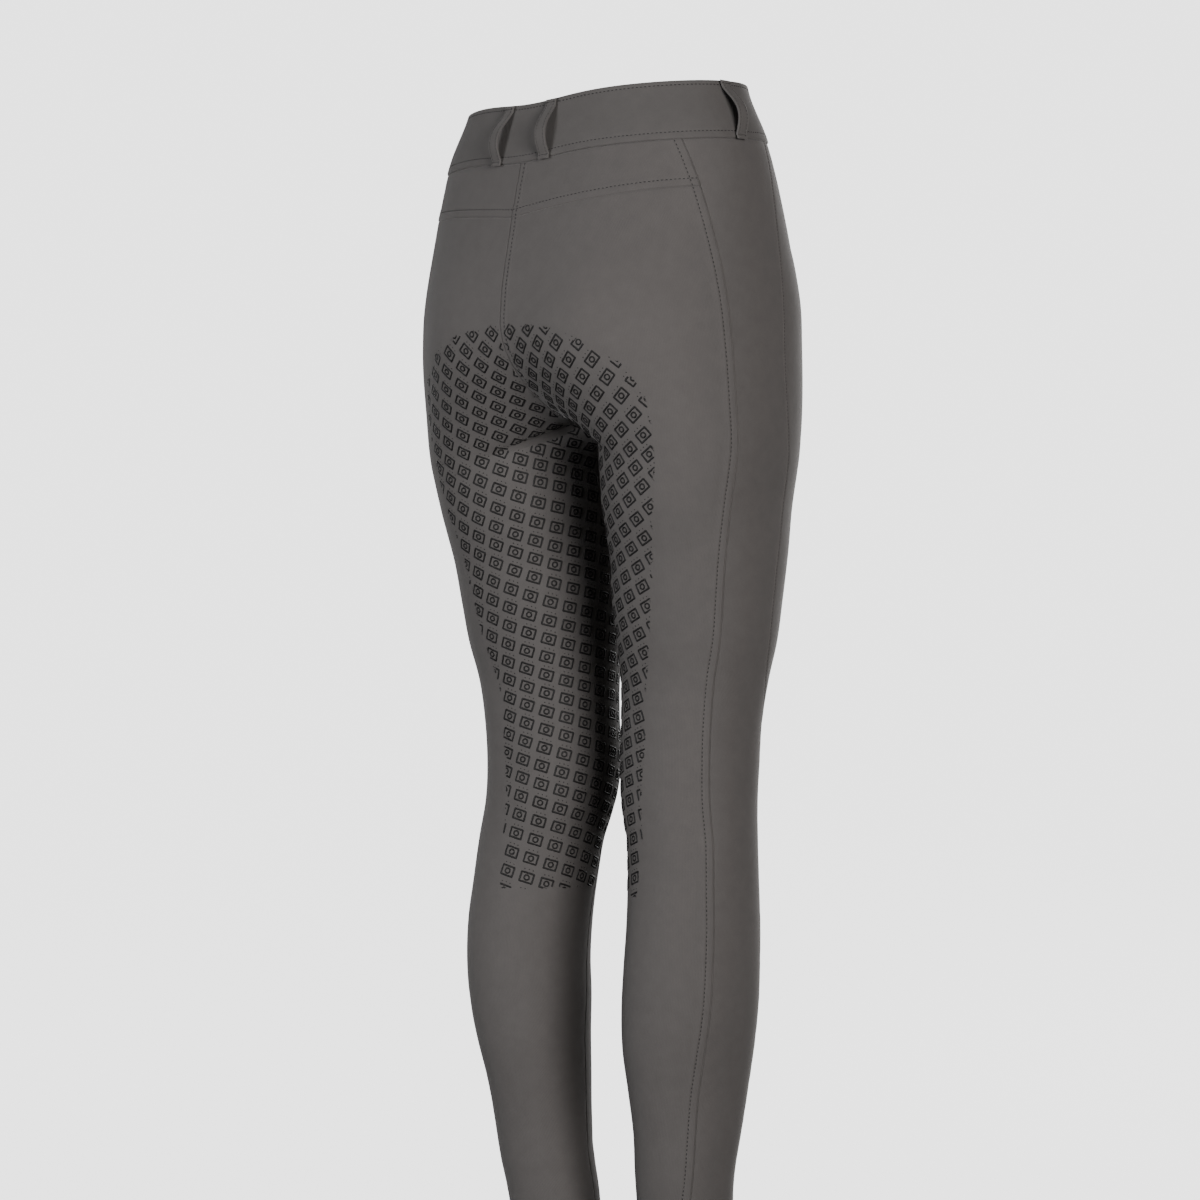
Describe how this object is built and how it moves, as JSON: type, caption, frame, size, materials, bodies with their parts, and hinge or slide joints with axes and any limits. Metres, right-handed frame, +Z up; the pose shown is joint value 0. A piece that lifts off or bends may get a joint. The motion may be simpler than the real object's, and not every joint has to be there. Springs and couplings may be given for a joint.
{
  "type": "riding breeches",
  "caption": "Close-fitting full-seat riding breeches in worn shape: hollow stretch-cloth panels, back yoke, belt-loop waistband, grip-print seat.",
  "frame": {"origin": "centre of the waist opening, at the level of its top edge at the sides, where the wearer's waist holds the garment", "axes": "+Z up out of the waist, -Y the front of the garment, +X the wearer's left"},
  "size_m": [0.3208, 0.2356, 0.9573],
  "materials": {
    "cloth": "matte warm dark grey stretch knit with a fine upright rib",
    "waistband_cloth": "the same cloth, doubled and topstitched",
    "grip_print": "raised dark silicone print with a soft gloss",
    "thread": "tonal sewing thread",
    "button": "dark moulded button"
  },
  "bodies": {
    "root": {"back_left": "cloth", "back_right": "cloth", "front_left": "cloth", "front_right": "cloth", "side_left": "cloth", "side_right": "cloth", "yoke_left": "cloth", "yoke_right": "cloth", "waistband": "waistband_cloth", "loop_back_left": "waistband_cloth", "loop_back_right": "waistband_cloth", "loop_side_left": "waistband_cloth", "loop_side_right": "waistband_cloth", "waist_button": "button"}
  },
  "joints": []
}
